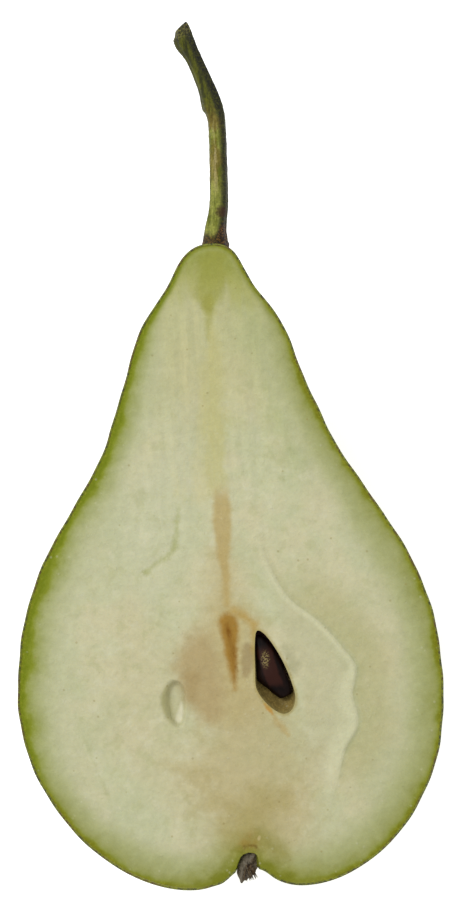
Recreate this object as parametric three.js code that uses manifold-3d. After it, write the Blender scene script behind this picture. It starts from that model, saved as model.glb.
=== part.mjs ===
// Half a pear, cut lengthwise and lying on its rounded back with the cut face up.
//
// Millimetres, +Z up. The fruit's own axis runs along +Y, from the base lobes to the stem, and +X is to
// the right across the cut face. While the pieces are made, that axis is x = 0, z = 0 and heights on the
// fruit are measured along +Y from its base lobes. The finished group is then moved to stand its box's
// bottom centre on the origin.

import * as THREE from 'three';
import { mergeVertices } from 'three/addons/utils/BufferGeometryUtils.js';
import Module from 'manifold-3d';

const wasm = await Module();
wasm.setup();

// Outline of the fruit, from the calyx basin round the base and up to the stem.
// Each rise is the height gained since the level named before it.
const basinRise = 3; // floor of the calyx basin above the base lobes
const lobeRadius = 8.5; // ring on which the base is lowest
const valleyRise = 3.2; // how far that ring is raised at the round back, which leaves a lobe at each side
const valleyReach = 12; // height where the raise has died out
const bulbRise = 30;
const bulbRadius = 32.5; // the fruit at its widest
const waistRise = 40;
const waistRadius = 16.6;
const waistTaper = 0.4; // radius lost per millimetre of height
const shoulderRise = 21.2;
const shoulderRadius = 7.2;
const shoulderTaper = 0.8;
const crownRise = 7.3; // shoulder up to the top of the crown, round the stem

// How far the outline keeps its direction on each side of those levels
const basinPull = 3.5;
const lobePullInside = 4.9;
const lobePullOutside = 10.8;
const bulbPullBelow = 17.9;
const bulbPullAbove = 20.6;
const waistPullBelow = 11.4;
const waistPullAbove = 15.2;
const shoulderPullBelow = 7.2;
const shoulderPullAbove = 3;
const crownPull = 4.8;

// The base is a little crooked: it stands to the right of the axis and comes back to it at the bulb
const baseShift = 1.5;
const baseShiftFade = 1.5; // power with which the shift fades

// The knife and the table
const cutHeight = 1.6; // cut face above the axis, just clear of the stem
const restDepth = 1.1; // how much of the round back is flattened where it rests

// Seed in its open locule, right of the axis
const seedLength = 10;
const seedWidth = 4.4;
const seedThickness = 2.6;
const seedPoint = 0.7; // 0 is an egg with two round ends, 1 a sharp tip
const seedOut = 6.3; // from the axis
const seedAboveBulb = 3.4; // above the widest level
const seedTilt = 19.6; // degrees, the tip leaning to the axis
const seedBelowCut = 0.3; // seed's upper side under the cut face
const seedClearance = 0.3; // round the seed in its locule
const loculeSlack = 1.8; // empty length of the locule below the seed

// Empty locule left of the axis, which the knife only grazed
const grazedLength = 6.8;
const grazedWidth = 3.8;
const grazedDepth = 1.4;
const grazedOut = 8.9;
const grazedBelowBulb = 1.3;
const grazedTilt = 5; // degrees

// Stem
const stemLength = 33.4; // from the seat to the slanted end
const stemRadius = 1.4;
const stemSeatShift = 0.7; // right of the axis
const stemBow = 1.2; // swing to the right half way up
const stemTipLean = 3.8; // swing to the left at the tip
const stemTipCurl = 3.5; // power that keeps the lean near the tip
const stemTipDroop = 1.2; // tip under the fruit's axis
const stemSocketDepth = 1; // sunk into the crown
const stemClearance = 0.3; // round the stem in the crown
const stemEndAngle = 42; // degrees from square, the end facing up and left
const stemSpare = 2; // length beyond the slanted end, cut away
const knobRadius = 1.75;
const knobLength = 5.4;
const knobBelowTip = 2.2;
const collarRadius = 1.95;
const collarHeight = 1.3;
const budScarRadius = 0.85; // scar of a lost bud on the right of the stem
const budScarHeight = 23.6; // above the stem's seat
const budScarOut = 1.1; // from the stem's middle

// Dried calyx in its tube at the base
const calyxTubeRadius = 1.75;
const calyxTubeDepth = 2.2; // above the basin's floor
const calyxBelowCut = 0.9; // tube's axis under the cut face
const calyxClearance = 0.3; // between the tube, the sepals and the tuft
const calyxReach = 2.1; // sepals below the basin's floor
const sepalWidth = 1.6;
const sepalThickness = 0.5;
const sepalPoint = 0.5;
const tuftReach = 1.2; // stamens below the basin's floor
const tuftPoint = 0.4;

// Fineness of the meshes
const outlineSteps = 8; // in each stretch of the outline
const fruitSides = 64;
const stemSteps = 26;
const stemSides = 8; // in half the section
const roundSides = 20;
const dropSteps = 14;
const spare = 1; // how far a cutter stands clear of what it cuts

// Heights that follow from the rises
const bulbHeight = bulbRise;
const waistHeight = bulbHeight + waistRise;
const shoulderHeight = waistHeight + shoulderRise;
const fruitLength = shoulderHeight + crownRise;

// Places that follow from the sizes
const seedPlace = new THREE.Vector3(
  seedOut,
  bulbHeight + seedAboveBulb,
  cutHeight - seedBelowCut - seedThickness / 2,
);
const calyxPlace = new THREE.Vector3(sidewaysAt(basinRise), basinRise, cutHeight - calyxBelowCut);
const sepalRing = calyxTubeRadius - calyxClearance - sepalThickness / 2;
const tuftRadius = sepalRing - sepalThickness / 2 - calyxClearance;
const stemBaseHeight = fruitLength - stemSocketDepth + stemClearance;

// A closed geometry as a solid that can be cut and joined
function solidOf(geometry) {
  const bare = geometry.index ? geometry.toNonIndexed() : geometry.clone();
  bare.deleteAttribute('normal');
  bare.deleteAttribute('uv');
  const merged = mergeVertices(bare, 1e-4);
  return new wasm.Manifold(new wasm.Mesh({
    numProp: 3,
    vertProperties: new Float32Array(merged.attributes.position.array),
    triVerts: new Uint32Array(merged.index.array),
  }));
}

function geometryOf(solid) {
  const mesh = solid.getMesh();
  const geometry = new THREE.BufferGeometry();
  geometry.setAttribute('position', new THREE.BufferAttribute(mesh.vertProperties, 3));
  geometry.setIndex(new THREE.BufferAttribute(mesh.triVerts, 1));
  geometry.computeVertexNormals();
  return geometry;
}

function radians(degrees) {
  return THREE.MathUtils.degToRad(degrees);
}

// How far the crooked base stands right of the axis at a height
function sidewaysAt(height) {
  const belowBulb = Math.max(0, 1 - height / bulbRise);
  return baseShift * belowBulb ** baseShiftFade;
}

// How far a point of the turned base is raised where it faces the round back
function valleyAt(x, y, z) {
  const radius = Math.hypot(x, z);
  if (radius === 0 || z > 0 || y > valleyReach) {
    return 0;
  }
  const backward = (-z / radius) * Math.min(1, radius / lobeRadius);
  return valleyRise * backward ** 2 * (1 - y / valleyReach) ** 2;
}

// A drop along Y: round at its lower end and drawn to a point at its upper end.
// It returns the profile [radius, height], with its widest radius equal to width / 2.
function dropProfile(length, width, point) {
  const profile = [];
  for (let step = 0; step <= dropSteps; step++) {
    const angle = (Math.PI * step) / dropSteps;
    const radius = Math.sin(angle) * Math.cos(angle / 2) ** point;
    profile.push(new THREE.Vector2(radius, (-length / 2) * Math.cos(angle)));
  }
  profile[0].x = 0;
  profile[dropSteps].x = 0;
  const widest = Math.max(...profile.map((corner) => corner.x));
  for (const corner of profile) {
    corner.x *= width / 2 / widest;
  }
  return profile;
}

function drop(length, width, thickness, point) {
  const geometry = new THREE.LatheGeometry(dropProfile(length, width, point), roundSides);
  geometry.scale(1, 1, thickness / width);
  return geometry;
}

// The whole fruit as a turned solid with a crooked, two-lobed base
function wholeFruit() {
  const outline = new THREE.Path();
  outline.moveTo(0, basinRise);
  outline.bezierCurveTo(basinPull, basinRise, lobeRadius - lobePullInside, 0, lobeRadius, 0);
  outline.bezierCurveTo(
    lobeRadius + lobePullOutside, 0,
    bulbRadius, bulbHeight - bulbPullBelow,
    bulbRadius, bulbHeight,
  );
  outline.bezierCurveTo(
    bulbRadius, bulbHeight + bulbPullAbove,
    waistRadius + waistTaper * waistPullBelow, waistHeight - waistPullBelow,
    waistRadius, waistHeight,
  );
  outline.bezierCurveTo(
    waistRadius - waistTaper * waistPullAbove, waistHeight + waistPullAbove,
    shoulderRadius + shoulderTaper * shoulderPullBelow, shoulderHeight - shoulderPullBelow,
    shoulderRadius, shoulderHeight,
  );
  outline.bezierCurveTo(
    shoulderRadius - shoulderTaper * shoulderPullAbove, shoulderHeight + shoulderPullAbove,
    crownPull, fruitLength,
    0, fruitLength,
  );
  const geometry = new THREE.LatheGeometry(outline.getPoints(outlineSteps), fruitSides);
  const position = geometry.attributes.position;
  for (let i = 0; i < position.count; i++) {
    const [x, y, z] = [position.getX(i), position.getY(i), position.getZ(i)];
    position.setXYZ(i, x + sidewaysAt(y), y + valleyAt(x, y, z), z);
  }
  return solidOf(geometry);
}

// Everything above the cut face
function knifeCut() {
  const height = bulbRadius + spare;
  const block = new THREE.BoxGeometry(4 * bulbRadius, fruitLength + 2 * spare, height);
  block.translate(0, fruitLength / 2, cutHeight + height / 2);
  return solidOf(block);
}

// What is flattened under the back, so that the half lies still
function restCut() {
  const height = restDepth + spare;
  const block = new THREE.BoxGeometry(4 * bulbRadius, fruitLength + 2 * spare, height);
  block.translate(0, fruitLength / 2, restDepth - bulbRadius - height / 2);
  return solidOf(block);
}

// The seed's locule: the seed grown by its clearance, open straight up to the cut face and
// carried on past the seed's round end
function seedLocule() {
  const length = seedLength + 2 * seedClearance;
  const width = seedWidth + 2 * seedClearance;
  const thickness = seedThickness + 2 * seedClearance;
  const side = dropProfile(length, width, seedPoint);
  const otherSide = side.slice(1, -1).reverse().map((corner) => new THREE.Vector2(-corner.x, corner.y));
  const mouthHeight = cutHeight + spare - seedPlace.z;
  const mouth = new THREE.ExtrudeGeometry(new THREE.Shape([...side, ...otherSide]), {
    depth: mouthHeight,
    bevelEnabled: false,
  });
  const hollow = solidOf(drop(length, width, thickness, seedPoint)).add(solidOf(mouth));
  const longer = hollow.add(hollow.translate([0, -loculeSlack, 0]));
  return longer.rotate([0, 0, seedTilt]).translate(seedPlace.toArray());
}

function grazedLocule() {
  const scoop = new THREE.SphereGeometry(1, roundSides, dropSteps);
  scoop.scale(grazedWidth / 2, grazedLength / 2, grazedDepth);
  scoop.rotateZ(radians(grazedTilt));
  scoop.translate(-grazedOut, bulbHeight - grazedBelowBulb, cutHeight);
  return solidOf(scoop);
}

function calyxTube() {
  const height = calyxTubeDepth + basinRise;
  const tube = new THREE.CylinderGeometry(calyxTubeRadius, calyxTubeRadius, height, roundSides);
  tube.translate(calyxPlace.x, height / 2, calyxPlace.z);
  return solidOf(tube);
}

function stemSocket() {
  const radius = stemRadius + stemClearance;
  const height = stemSocketDepth + spare;
  const stemMiddle = new StemLine().atHeight(stemSocketDepth / 2);
  const socket = new THREE.CylinderGeometry(radius, radius, height, roundSides);
  socket.translate(stemMiddle.x, fruitLength - stemSocketDepth + height / 2, stemMiddle.z);
  return solidOf(socket);
}

function pearHalf() {
  const cuts = [knifeCut(), restCut(), seedLocule(), grazedLocule(), calyxTube(), stemSocket()];
  const flesh = cuts.reduce((solid, cut) => solid.subtract(cut), wholeFruit());
  const material = new THREE.MeshStandardMaterial({ color: 0xc6c39c, roughness: 0.45, metalness: 0 });
  return named('pear_half', new THREE.Mesh(geometryOf(flesh), material));
}

// Middle line of the stem, straight out of the crown and bent to the left near its tip
class StemLine extends THREE.Curve {
  getPoint(share, target = new THREE.Vector3()) {
    const along = (share * (stemLength + stemSpare)) / stemLength;
    const swing = stemBow * Math.sin(Math.PI * along) - stemTipLean * along ** stemTipCurl;
    return target.set(
      stemSeatShift + swing,
      stemBaseHeight + along * stemLength,
      -stemTipDroop * along ** 2,
    );
  }

  // The point a given height above the seat
  atHeight(height) {
    return this.getPoint(height / (stemLength + stemSpare));
  }
}

function stem() {
  const line = new StemLine();
  const section = new THREE.Shape();
  section.absarc(0, 0, stemRadius, 0, 2 * Math.PI, false);
  const rod = new THREE.ExtrudeGeometry(section, {
    steps: stemSteps,
    curveSegments: stemSides,
    extrudePath: line,
  });

  const tip = line.atHeight(stemLength);
  const knobMiddle = line.atHeight(stemLength - knobBelowTip);
  const knob = new THREE.SphereGeometry(1, roundSides, dropSteps);
  knob.scale(knobRadius, knobLength / 2, knobRadius);
  knob.rotateZ(Math.atan2(knobMiddle.x - tip.x, tip.y - knobMiddle.y));
  knob.translate(...knobMiddle.toArray());

  const scarMiddle = line.atHeight(budScarHeight);
  const scar = new THREE.SphereGeometry(budScarRadius, roundSides, dropSteps);
  scar.translate(scarMiddle.x + budScarOut, scarMiddle.y, scarMiddle.z);

  const collarMiddle = line.atHeight(stemSocketDepth + collarHeight / 2);
  const collar = new THREE.SphereGeometry(1, roundSides, dropSteps);
  collar.scale(collarRadius, collarHeight / 2, collarRadius);
  collar.translate(...collarMiddle.toArray());

  const beyondSize = 4 * knobLength;
  const beyond = new THREE.BoxGeometry(beyondSize, beyondSize, beyondSize);
  beyond.translate(0, beyondSize / 2, 0);
  beyond.rotateZ(radians(stemEndAngle));
  beyond.translate(...tip.toArray());

  const joined = [knob, scar, collar].reduce((solid, bump) => solid.add(solidOf(bump)), solidOf(rod));
  const material = new THREE.MeshStandardMaterial({ color: 0x6d5a33, roughness: 0.7, metalness: 0 });
  return named('stem', new THREE.Mesh(geometryOf(joined.subtract(solidOf(beyond))), material));
}

function seed() {
  const material = new THREE.MeshStandardMaterial({ color: 0x2a160c, roughness: 0.25, metalness: 0 });
  const mesh = new THREE.Mesh(drop(seedLength, seedWidth, seedThickness, seedPoint), material);
  mesh.position.copy(seedPlace);
  mesh.rotation.z = radians(seedTilt);
  return named('seed', mesh);
}

// Dried sepals round the tube's wall, tips outwards, and the stamens between them
function calyx() {
  const group = new THREE.Group();
  group.position.copy(calyxPlace);
  const material = new THREE.MeshStandardMaterial({ color: 0x4b4432, roughness: 0.85, metalness: 0 });
  const inner = calyxTubeDepth - calyxClearance;

  const sepals = { sepal_right: 0, sepal_back: 90, sepal_left: 180 }; // degrees round the tube's axis
  for (const [name, angle] of Object.entries(sepals)) {
    const length = inner + calyxReach;
    const blade = drop(length, sepalWidth, sepalThickness, sepalPoint);
    blade.rotateZ(Math.PI);
    blade.translate(0, inner - length / 2, sepalRing);
    const sepal = named(name, new THREE.Mesh(blade, material));
    sepal.rotation.y = radians(90 + angle);
    group.add(sepal);
  }

  const tuftLength = inner + tuftReach;
  const tuft = drop(tuftLength, 2 * tuftRadius, 2 * tuftRadius, tuftPoint);
  tuft.rotateZ(Math.PI);
  tuft.translate(0, inner - tuftLength / 2, 0);
  group.add(named('stamen_tuft', new THREE.Mesh(tuft, material)));
  return group;
}

function named(name, mesh) {
  mesh.name = name;
  return mesh;
}

const pear = new THREE.Group();
pear.add(pearHalf(), stem(), seed(), calyx());

const box = new THREE.Box3().setFromObject(pear, true);
const centre = box.getCenter(new THREE.Vector3());
pear.position.set(-centre.x, -centre.y, -box.min.z);

export default pear;
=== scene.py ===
import math

import bmesh
import bpy
import numpy as np
from mathutils import Matrix, Vector, noise
from mathutils.geometry import delaunay_2d_cdt


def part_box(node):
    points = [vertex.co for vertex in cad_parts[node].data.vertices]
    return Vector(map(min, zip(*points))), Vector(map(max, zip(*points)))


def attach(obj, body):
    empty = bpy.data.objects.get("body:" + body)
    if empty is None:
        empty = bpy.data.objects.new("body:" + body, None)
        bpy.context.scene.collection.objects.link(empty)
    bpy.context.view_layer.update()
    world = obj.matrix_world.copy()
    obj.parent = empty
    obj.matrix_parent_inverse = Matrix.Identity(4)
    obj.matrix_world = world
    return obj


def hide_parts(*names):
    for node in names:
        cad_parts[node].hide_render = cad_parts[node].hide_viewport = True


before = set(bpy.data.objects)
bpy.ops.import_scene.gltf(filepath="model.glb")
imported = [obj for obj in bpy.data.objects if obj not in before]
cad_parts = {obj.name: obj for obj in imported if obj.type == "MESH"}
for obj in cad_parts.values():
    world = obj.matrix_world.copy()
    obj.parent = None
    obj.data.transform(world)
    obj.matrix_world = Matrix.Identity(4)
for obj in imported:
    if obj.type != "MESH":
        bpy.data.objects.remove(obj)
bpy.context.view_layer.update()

mm = 0.001
fleshLow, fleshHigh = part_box("pear_half")
lobeY = fleshLow.y / mm  # the lobes at the calyx end, which heights below are counted from
cutZ = fleshHigh.z / mm
bulbRadius = fleshHigh.x / mm
print("frame loaded:", len(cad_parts), "nodes, cut face at", round(cutZ, 2), "mm")


# numbers and points, in mm
def ease(low, high, value):
    t = np.clip((value - low) / (high - low), 0, 1)
    return t * t * (3 - 2 * t)


def between(value, low, full, fade, high):
    # rises from 0 to 1 between the first two, falls back between the last two
    return ease(low, full, value) * ease(high, fade, value)


def bezier(start, pullA, pullB, end, steps=60):
    t = np.linspace(0, 1, steps)[:, None]
    start, pullA, pullB, end = (np.array(p, float) for p in (start, pullA, pullB, end))
    return ((1 - t) ** 3 * start + 3 * (1 - t) ** 2 * t * pullA
            + 3 * (1 - t) * t ** 2 * pullB + t ** 3 * end)


def evenly(points, step):
    # the same line with its points a fixed length apart
    points = np.array(points, float)
    run = np.concatenate([[0], np.cumsum(np.linalg.norm(np.diff(points, axis=0), axis=1))])
    marks = np.linspace(0, run[-1], int(run[-1] / step) + 1)
    return np.stack([np.interp(marks, run, points[:, k]) for k in range(points.shape[1])], axis=1)


def throughPoints(points, perSpan, closed=False):
    # a Catmull-Rom curve through the points
    points = np.array(points, float)
    count = len(points)
    spans = count if closed else count - 1
    made = []
    for i in range(spans):
        if closed:
            a, b, c, d = (points[(i + k) % count] for k in (-1, 0, 1, 2))
        else:
            a, b, c, d = (points[min(max(i + k, 0), count - 1)] for k in (-1, 0, 1, 2))
        for t in np.arange(perSpan) / perSpan:
            made.append(0.5 * (2 * b + (c - a) * t + (2 * a - 5 * b + 4 * c - d) * t ** 2
                               + (3 * b - a - 3 * c + d) * t ** 3))
    if not closed:
        made.append(points[-1])
    return np.array(made)


def reach(points, path):
    # distance in mm from each point to a stroke of (x, y, half width), negative inside it
    path = np.array(path, float)
    best = np.full(len(points), 1e9)
    for (ax, ay, aw), (bx, by, bw) in zip(path[:-1], path[1:]):
        along = np.array([bx - ax, by - ay])
        t = ((points[:, 0] - ax) * along[0] + (points[:, 1] - ay) * along[1]) / (along @ along)
        t = np.clip(t, 0, 1)
        away = np.hypot(points[:, 0] - ax - t * along[0], points[:, 1] - ay - t * along[1])
        best = np.minimum(best, away - aw - t * (bw - aw))
    return best


def inside(points, loop):
    # even-odd test against a closed loop
    odd = np.zeros(len(points), bool)
    x, y = points[:, 0], points[:, 1]
    for (ax, ay), (bx, by) in zip(loop, np.roll(loop, -1, axis=0)):
        if ay != by:
            odd ^= ((ay > y) != (by > y)) & (x < (bx - ax) * (y - ay) / (by - ay) + ax)
    return odd


def cloud(points, size, seed=0.0):
    # smooth noise from -1 to 1 with lumps of that size
    return np.array([noise.noise(Vector((p[0] / size, p[1] / size, p[2] / size + seed))) for p in points])


def waver(points, amount, size, spacing):
    # the points pushed about by noise with lumps of that size
    return points + amount * np.stack([cloud(points, size, k * spacing) for k in range(3)], axis=1)


def asStroke(loop):
    # a closed loop as a stroke of no width
    return np.c_[np.r_[loop, loop[:1]], np.zeros(len(loop) + 1)]


# meshes
def toObject(name, vertices, faces, materials):
    # heights along the fruit become places in the row frame here, once
    placed = np.array(vertices, float)
    placed[:, 1] += lobeY
    mesh = bpy.data.meshes.new(name)
    mesh.from_pydata((placed * mm).tolist(), [], [list(map(int, f)) for f in faces])
    mesh.validate()
    mesh.polygons.foreach_set("use_smooth", [True] * len(mesh.polygons))
    for material in materials:
        mesh.materials.append(material)
    obj = bpy.data.objects.new(name, mesh)
    bpy.context.scene.collection.objects.link(obj)
    return obj


def ringFaces(rings, sides):
    # quads between rings of vertices, and a fan to the pole that follows them at each end
    faces = []
    for j in range(sides):
        k = (j + 1) % sides
        faces.append((rings * sides, k, j))
        faces.append((rings * sides + 1, (rings - 1) * sides + j, (rings - 1) * sides + k))
        for i in range(rings - 1):
            faces.append((i * sides + j, i * sides + k, (i + 1) * sides + k, (i + 1) * sides + j))
    return faces


def faceOutward(obj):
    bm = bmesh.new()
    bm.from_mesh(obj.data)
    bmesh.ops.recalc_face_normals(bm, faces=bm.faces)
    bm.to_mesh(obj.data)
    bm.free()


def store(obj, name, values):
    values = np.array(values, float)
    kind = "FLOAT" if values.ndim == 1 else "FLOAT_VECTOR"
    slot = obj.data.attributes.new(name, kind, "POINT")
    slot.data.foreach_set("value" if values.ndim == 1 else "vector", values.ravel())


def settle(obj):
    # applies what modifiers are left on the object
    view = bpy.context.evaluated_depsgraph_get()
    made = bpy.data.meshes.new_from_object(obj.evaluated_get(view), depsgraph=view)
    obj.modifiers.clear()
    obj.data = made
    return obj


class Growth:
    # a geometry node tree with named inputs that ends in realized instances and a material
    def __init__(self, name, inputs):
        self.tree = bpy.data.node_groups.new(name, "GeometryNodeTree")
        face = self.tree.interface
        for label, kind in {"Geometry": "Geometry", **inputs, "Material": "Material"}.items():
            face.new_socket(label, in_out="INPUT", socket_type="NodeSocket" + kind)
        face.new_socket("Geometry", in_out="OUTPUT", socket_type="NodeSocketGeometry")
        self.given = self.tree.nodes.new("NodeGroupInput").outputs

    def add(self, kind, settings=None, sockets=None):
        node = self.tree.nodes.new(kind)
        for key, value in (settings or {}).items():
            setattr(node, key, value)
        for key, value in (sockets or {}).items():
            if isinstance(value, bpy.types.NodeSocket):
                self.tree.links.new(value, node.inputs[key])
            else:
                node.inputs[key].default_value = value
        return node.outputs

    def randomVector(self, least, most):
        return self.add("FunctionNodeRandomValue", {"data_type": "FLOAT_VECTOR"}, {
            "Min": least, "Max": most, "Seed": self.given["Seed"]})["Value"]

    def finish(self, instances):
        real = self.add("GeometryNodeRealizeInstances", {}, {"Geometry": instances["Instances"]})
        coloured = self.add("GeometryNodeSetMaterial", {}, {
            "Geometry": real["Geometry"], "Material": self.given["Material"]})
        self.add("NodeGroupOutput", {}, {"Geometry": coloured["Geometry"]})
        return self.tree


def grow(name, base, tree, values):
    # runs a node tree on a copy of the base's mesh and keeps the plain mesh
    obj = bpy.data.objects.new(name, base.data.copy())
    bpy.context.scene.collection.objects.link(obj)
    modifier = obj.modifiers.new("grow", "NODES")
    modifier.node_group = tree
    for item in tree.interface.items_tree:
        if item.in_out == "INPUT" and item.name in values:
            modifier[item.identifier] = values[item.name]
    bpy.context.view_layer.update()
    return settle(obj)


# shader maths
lightLevel = 1.2  # how brightly the studio lights a level surface
sheen = 0.013  # the part of that light which any finish throws back white


def paint(red, green, blue):
    # a finish given as it looks under the studio light, 0 to 255
    def linear(v):
        v /= 255
        return v / 12.92 if v <= 0.04045 else ((v + 0.055) / 1.055) ** 2.4
    return tuple(max(0.004, linear(v) - sheen) / lightLevel for v in (red, green, blue)) + (1,)


class Signal:
    def __init__(self, look, socket):
        self.look = look
        self.socket = socket

    def maths(self, operation, first, second=0.0):
        return self.look.add("ShaderNodeMath", {"operation": operation}, {0: first, 1: second})

    def __add__(self, other):
        return self.maths("ADD", self, other)

    __radd__ = __add__

    def __sub__(self, other):
        return self.maths("SUBTRACT", self, other)

    def __rsub__(self, other):
        return self.maths("SUBTRACT", other, self)

    def __mul__(self, other):
        return self.maths("MULTIPLY", self, other)

    __rmul__ = __mul__

    def __truediv__(self, other):
        return self.maths("DIVIDE", self, other)

    def __rtruediv__(self, other):
        return self.maths("DIVIDE", other, self)

    def __pow__(self, other):
        return self.maths("POWER", self, other)

    def size(self):
        return self.maths("ABSOLUTE", self)


class Look:
    def __init__(self, name, tones=None):
        self.material = bpy.data.materials.new(name)
        self.material.use_nodes = True
        self.tree = self.material.node_tree
        self.tree.nodes.clear()
        self.tones = tones or {}
        self.place = self.add("ShaderNodeTexCoord", out="Object")
        x, y, z = self.parts(self.place)
        self.x = x * 1000  # mm
        self.y = y * 1000 - lobeY
        self.z = z * 1000

    def add(self, kind, settings=None, sockets=None, out=0):
        node = self.tree.nodes.new(kind)
        for key, value in (settings or {}).items():
            if key == "stops":
                ramp = node.color_ramp
                while len(ramp.elements) < len(value):
                    ramp.elements.new(0.5)
                for element, (position, tint) in zip(ramp.elements, value):
                    element.position = position
                    element.color = tint
            else:
                setattr(node, key, value)
        for key, value in (sockets or {}).items():
            if isinstance(value, Signal):
                self.tree.links.new(value.socket, node.inputs[key])
            else:
                node.inputs[key].default_value = value
        return Signal(self, node.outputs[out]) if len(node.outputs) else None

    def parts(self, vector):
        node = self.add("ShaderNodeSeparateXYZ", {}, {0: vector}).socket.node
        return [Signal(self, output) for output in node.outputs]

    def attribute(self, name):
        return self.add("ShaderNodeAttribute", {"attribute_name": name}, out="Fac")

    def attributes(self, name):
        # the three values of a vector attribute
        return self.parts(self.add("ShaderNodeAttribute", {"attribute_name": name}, out="Vector"))

    def noise(self, size, detail=2.0, roughness=0.5, stretch=(1, 1, 1), shift=0.0):
        # lumps of that size in mm, about 0.5
        scaled = self.add("ShaderNodeMapping", {}, {
            "Vector": self.place,
            "Location": (shift, shift * 0.7, shift * 1.3),
            "Scale": tuple(1000 / size / s for s in stretch)})
        return self.add("ShaderNodeTexNoise", {}, {
            "Vector": scaled, "Scale": 1.0, "Detail": detail, "Roughness": roughness}, "Fac")

    def dots(self, size, core, edge, shift=0.0):
        # 1 inside small dots, one in each cell of that size in mm
        scaled = self.add("ShaderNodeMapping", {}, {
            "Vector": self.place, "Location": (shift, shift, shift),
            "Scale": (1000 / size, 1000 / size, 1000 / size)})
        away = self.add("ShaderNodeTexVoronoi", {"feature": "F1"}, {"Vector": scaled, "Scale": 1.0},
                        "Distance")
        return 1 - self.step(away, core, edge)

    def step(self, value, low, high):
        # 0 at low and 1 at high, with soft ends
        return self.add("ShaderNodeMapRange", {"interpolation_type": "SMOOTHSTEP"}, {
            "Value": value, "From Min": low, "From Max": high})

    def between(self, value, low, full, fade, high):
        return self.step(value, low, full) * self.step(value, high, fade)

    def away(self, x, y, wide=1.0, tall=1.0):
        # distance in mm from a place on the fruit
        aside, along = self.x - x, self.y - y
        return (aside * aside * wide + along * along * tall) ** 0.5

    def tone(self, name):
        return paint(*self.tones[name])

    def mix(self, factor, under, over, blend="MIX"):
        # tints may be given by name
        under, over = (self.tone(tint) if isinstance(tint, str) else tint for tint in (under, over))
        return self.add("ShaderNodeMix", {"data_type": "RGBA", "blend_type": blend}, {
            0: factor, 6: under, 7: over}, 2)

    def shade(self, tint, amount):
        # the tint made darker or lighter by a value about 1
        grey = self.add("ShaderNodeCombineXYZ", {}, {0: amount, 1: amount, 2: amount})
        return self.mix(1.0, tint, grey, "MULTIPLY")

    def ramp(self, value, reach, stops):
        # tints by a value that runs from 0 to reach
        tints = [(at / reach, paint(*tone)) for at, tone in stops]
        return self.add("ShaderNodeValToRGB", {"stops": tints}, {0: value / reach})

    def bump(self, height, distance, strength):
        return self.add("ShaderNodeBump", {}, {"Height": height, "Distance": distance, "Strength": strength})

    def finish(self, **sockets):
        # the last shader, with its sockets given by name
        named = {key.replace("_", " "): value for key, value in sockets.items()}
        surface = self.add("ShaderNodeBsdfPrincipled", {}, named)
        self.add("ShaderNodeOutputMaterial", {}, {"Surface": surface})
        return self.material


# the fruit's outline: radius and height above the lobes in mm; pulls are the handles' lengths
outline = {
    "tubeRadius": 1.7, "tubeTop": 5.2, "tubeLean": 0.5, "basinRise": 3.0, "basinPull": 4.1,
    "lobeRadius": 8.5, "lobePullInside": 4.9, "lobePullOutside": 10.8,
    "bulbRise": 30.0, "bulbPullBelow": 17.9, "bulbPullAbove": 20.6,
    "waistRise": 70.0, "waistRadius": 16.6, "waistTaper": 0.4, "waistPullBelow": 11.4,
    "waistPullAbove": 15.2,
    "shoulderRise": 91.2, "shoulderRadius": 7.2, "shoulderTaper": 0.8,
    "shoulderPullBelow": 7.2, "shoulderPullAbove": 3.0,
    "crownRise": 98.5, "crownPull": 4.8,
    "baseShift": 1.5, "baseShiftFade": 30.0,  # the calyx stands right of the middle
    "neckLean": 0.4, "neckSpan": (60, 80, 94, 99),
    "ballast": 1.6,  # how far the round side goes deeper than a true half
    "valleyRise": 3.2, "valleyReach": 12.0,  # the raised base between the two lobes, at the round side
    # waves of (amount, height span, turns, start) that make the round side and the rim uneven
    "lumps": [(0.22, 9.0, 2.2, 0), (0.16, 5.1, -3.7, 1)],
    "ripples": [(0.042, 1.7, 0, 3), (0.035, 0.83, 2, 0), (0.056, 4.3, 4, 0)],
    "lip": 0.75, "lipLean": 0.35, "lipRadius": 3.1, "lipReach": 1.6,  # the lobes stand fuller at the notch
    "step": 0.42, "columns": 60,
}


def fruitOutline():
    o = outline
    tubeRadius, basinRise = o["tubeRadius"], o["basinRise"]
    tube = [(0, o["tubeTop"]), (tubeRadius * 0.62, o["tubeTop"] - 0.15),
            (tubeRadius * 0.8, o["tubeTop"] - 0.8), (tubeRadius, basinRise)]
    basin = bezier(tube[-1], (o["basinPull"], basinRise), (o["lobeRadius"] - o["lobePullInside"], 0),
                   (o["lobeRadius"], 0))
    lobe = bezier(basin[-1], (o["lobeRadius"] + o["lobePullOutside"], 0),
                  (bulbRadius, o["bulbRise"] - o["bulbPullBelow"]), (bulbRadius, o["bulbRise"]))

    def leaning(name, pull):
        # a handle beside a point where the outline tapers
        return (o[name + "Radius"] - o[name + "Taper"] * pull, o[name + "Rise"] + pull)

    waist = bezier(lobe[-1], (bulbRadius, o["bulbRise"] + o["bulbPullAbove"]),
                   leaning("waist", -o["waistPullBelow"]), (o["waistRadius"], o["waistRise"]))
    shoulder = bezier(waist[-1], leaning("waist", o["waistPullAbove"]),
                      leaning("shoulder", -o["shoulderPullBelow"]), (o["shoulderRadius"], o["shoulderRise"]))
    crown = bezier(shoulder[-1], leaning("shoulder", o["shoulderPullAbove"]),
                   (o["crownPull"], o["crownRise"]), (0, o["crownRise"]))
    return evenly(np.concatenate([tube, basin[1:], lobe[1:], waist[1:], shoulder[1:], crown[1:]]), o["step"])


def sway(height):
    # how far the fruit's axis stands aside at a height
    o = outline
    base = o["baseShift"] * np.clip(1 - height / o["baseShiftFade"], 0, 1) ** 1.5
    return base - o["neckLean"] * between(height, *o["neckSpan"])


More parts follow.
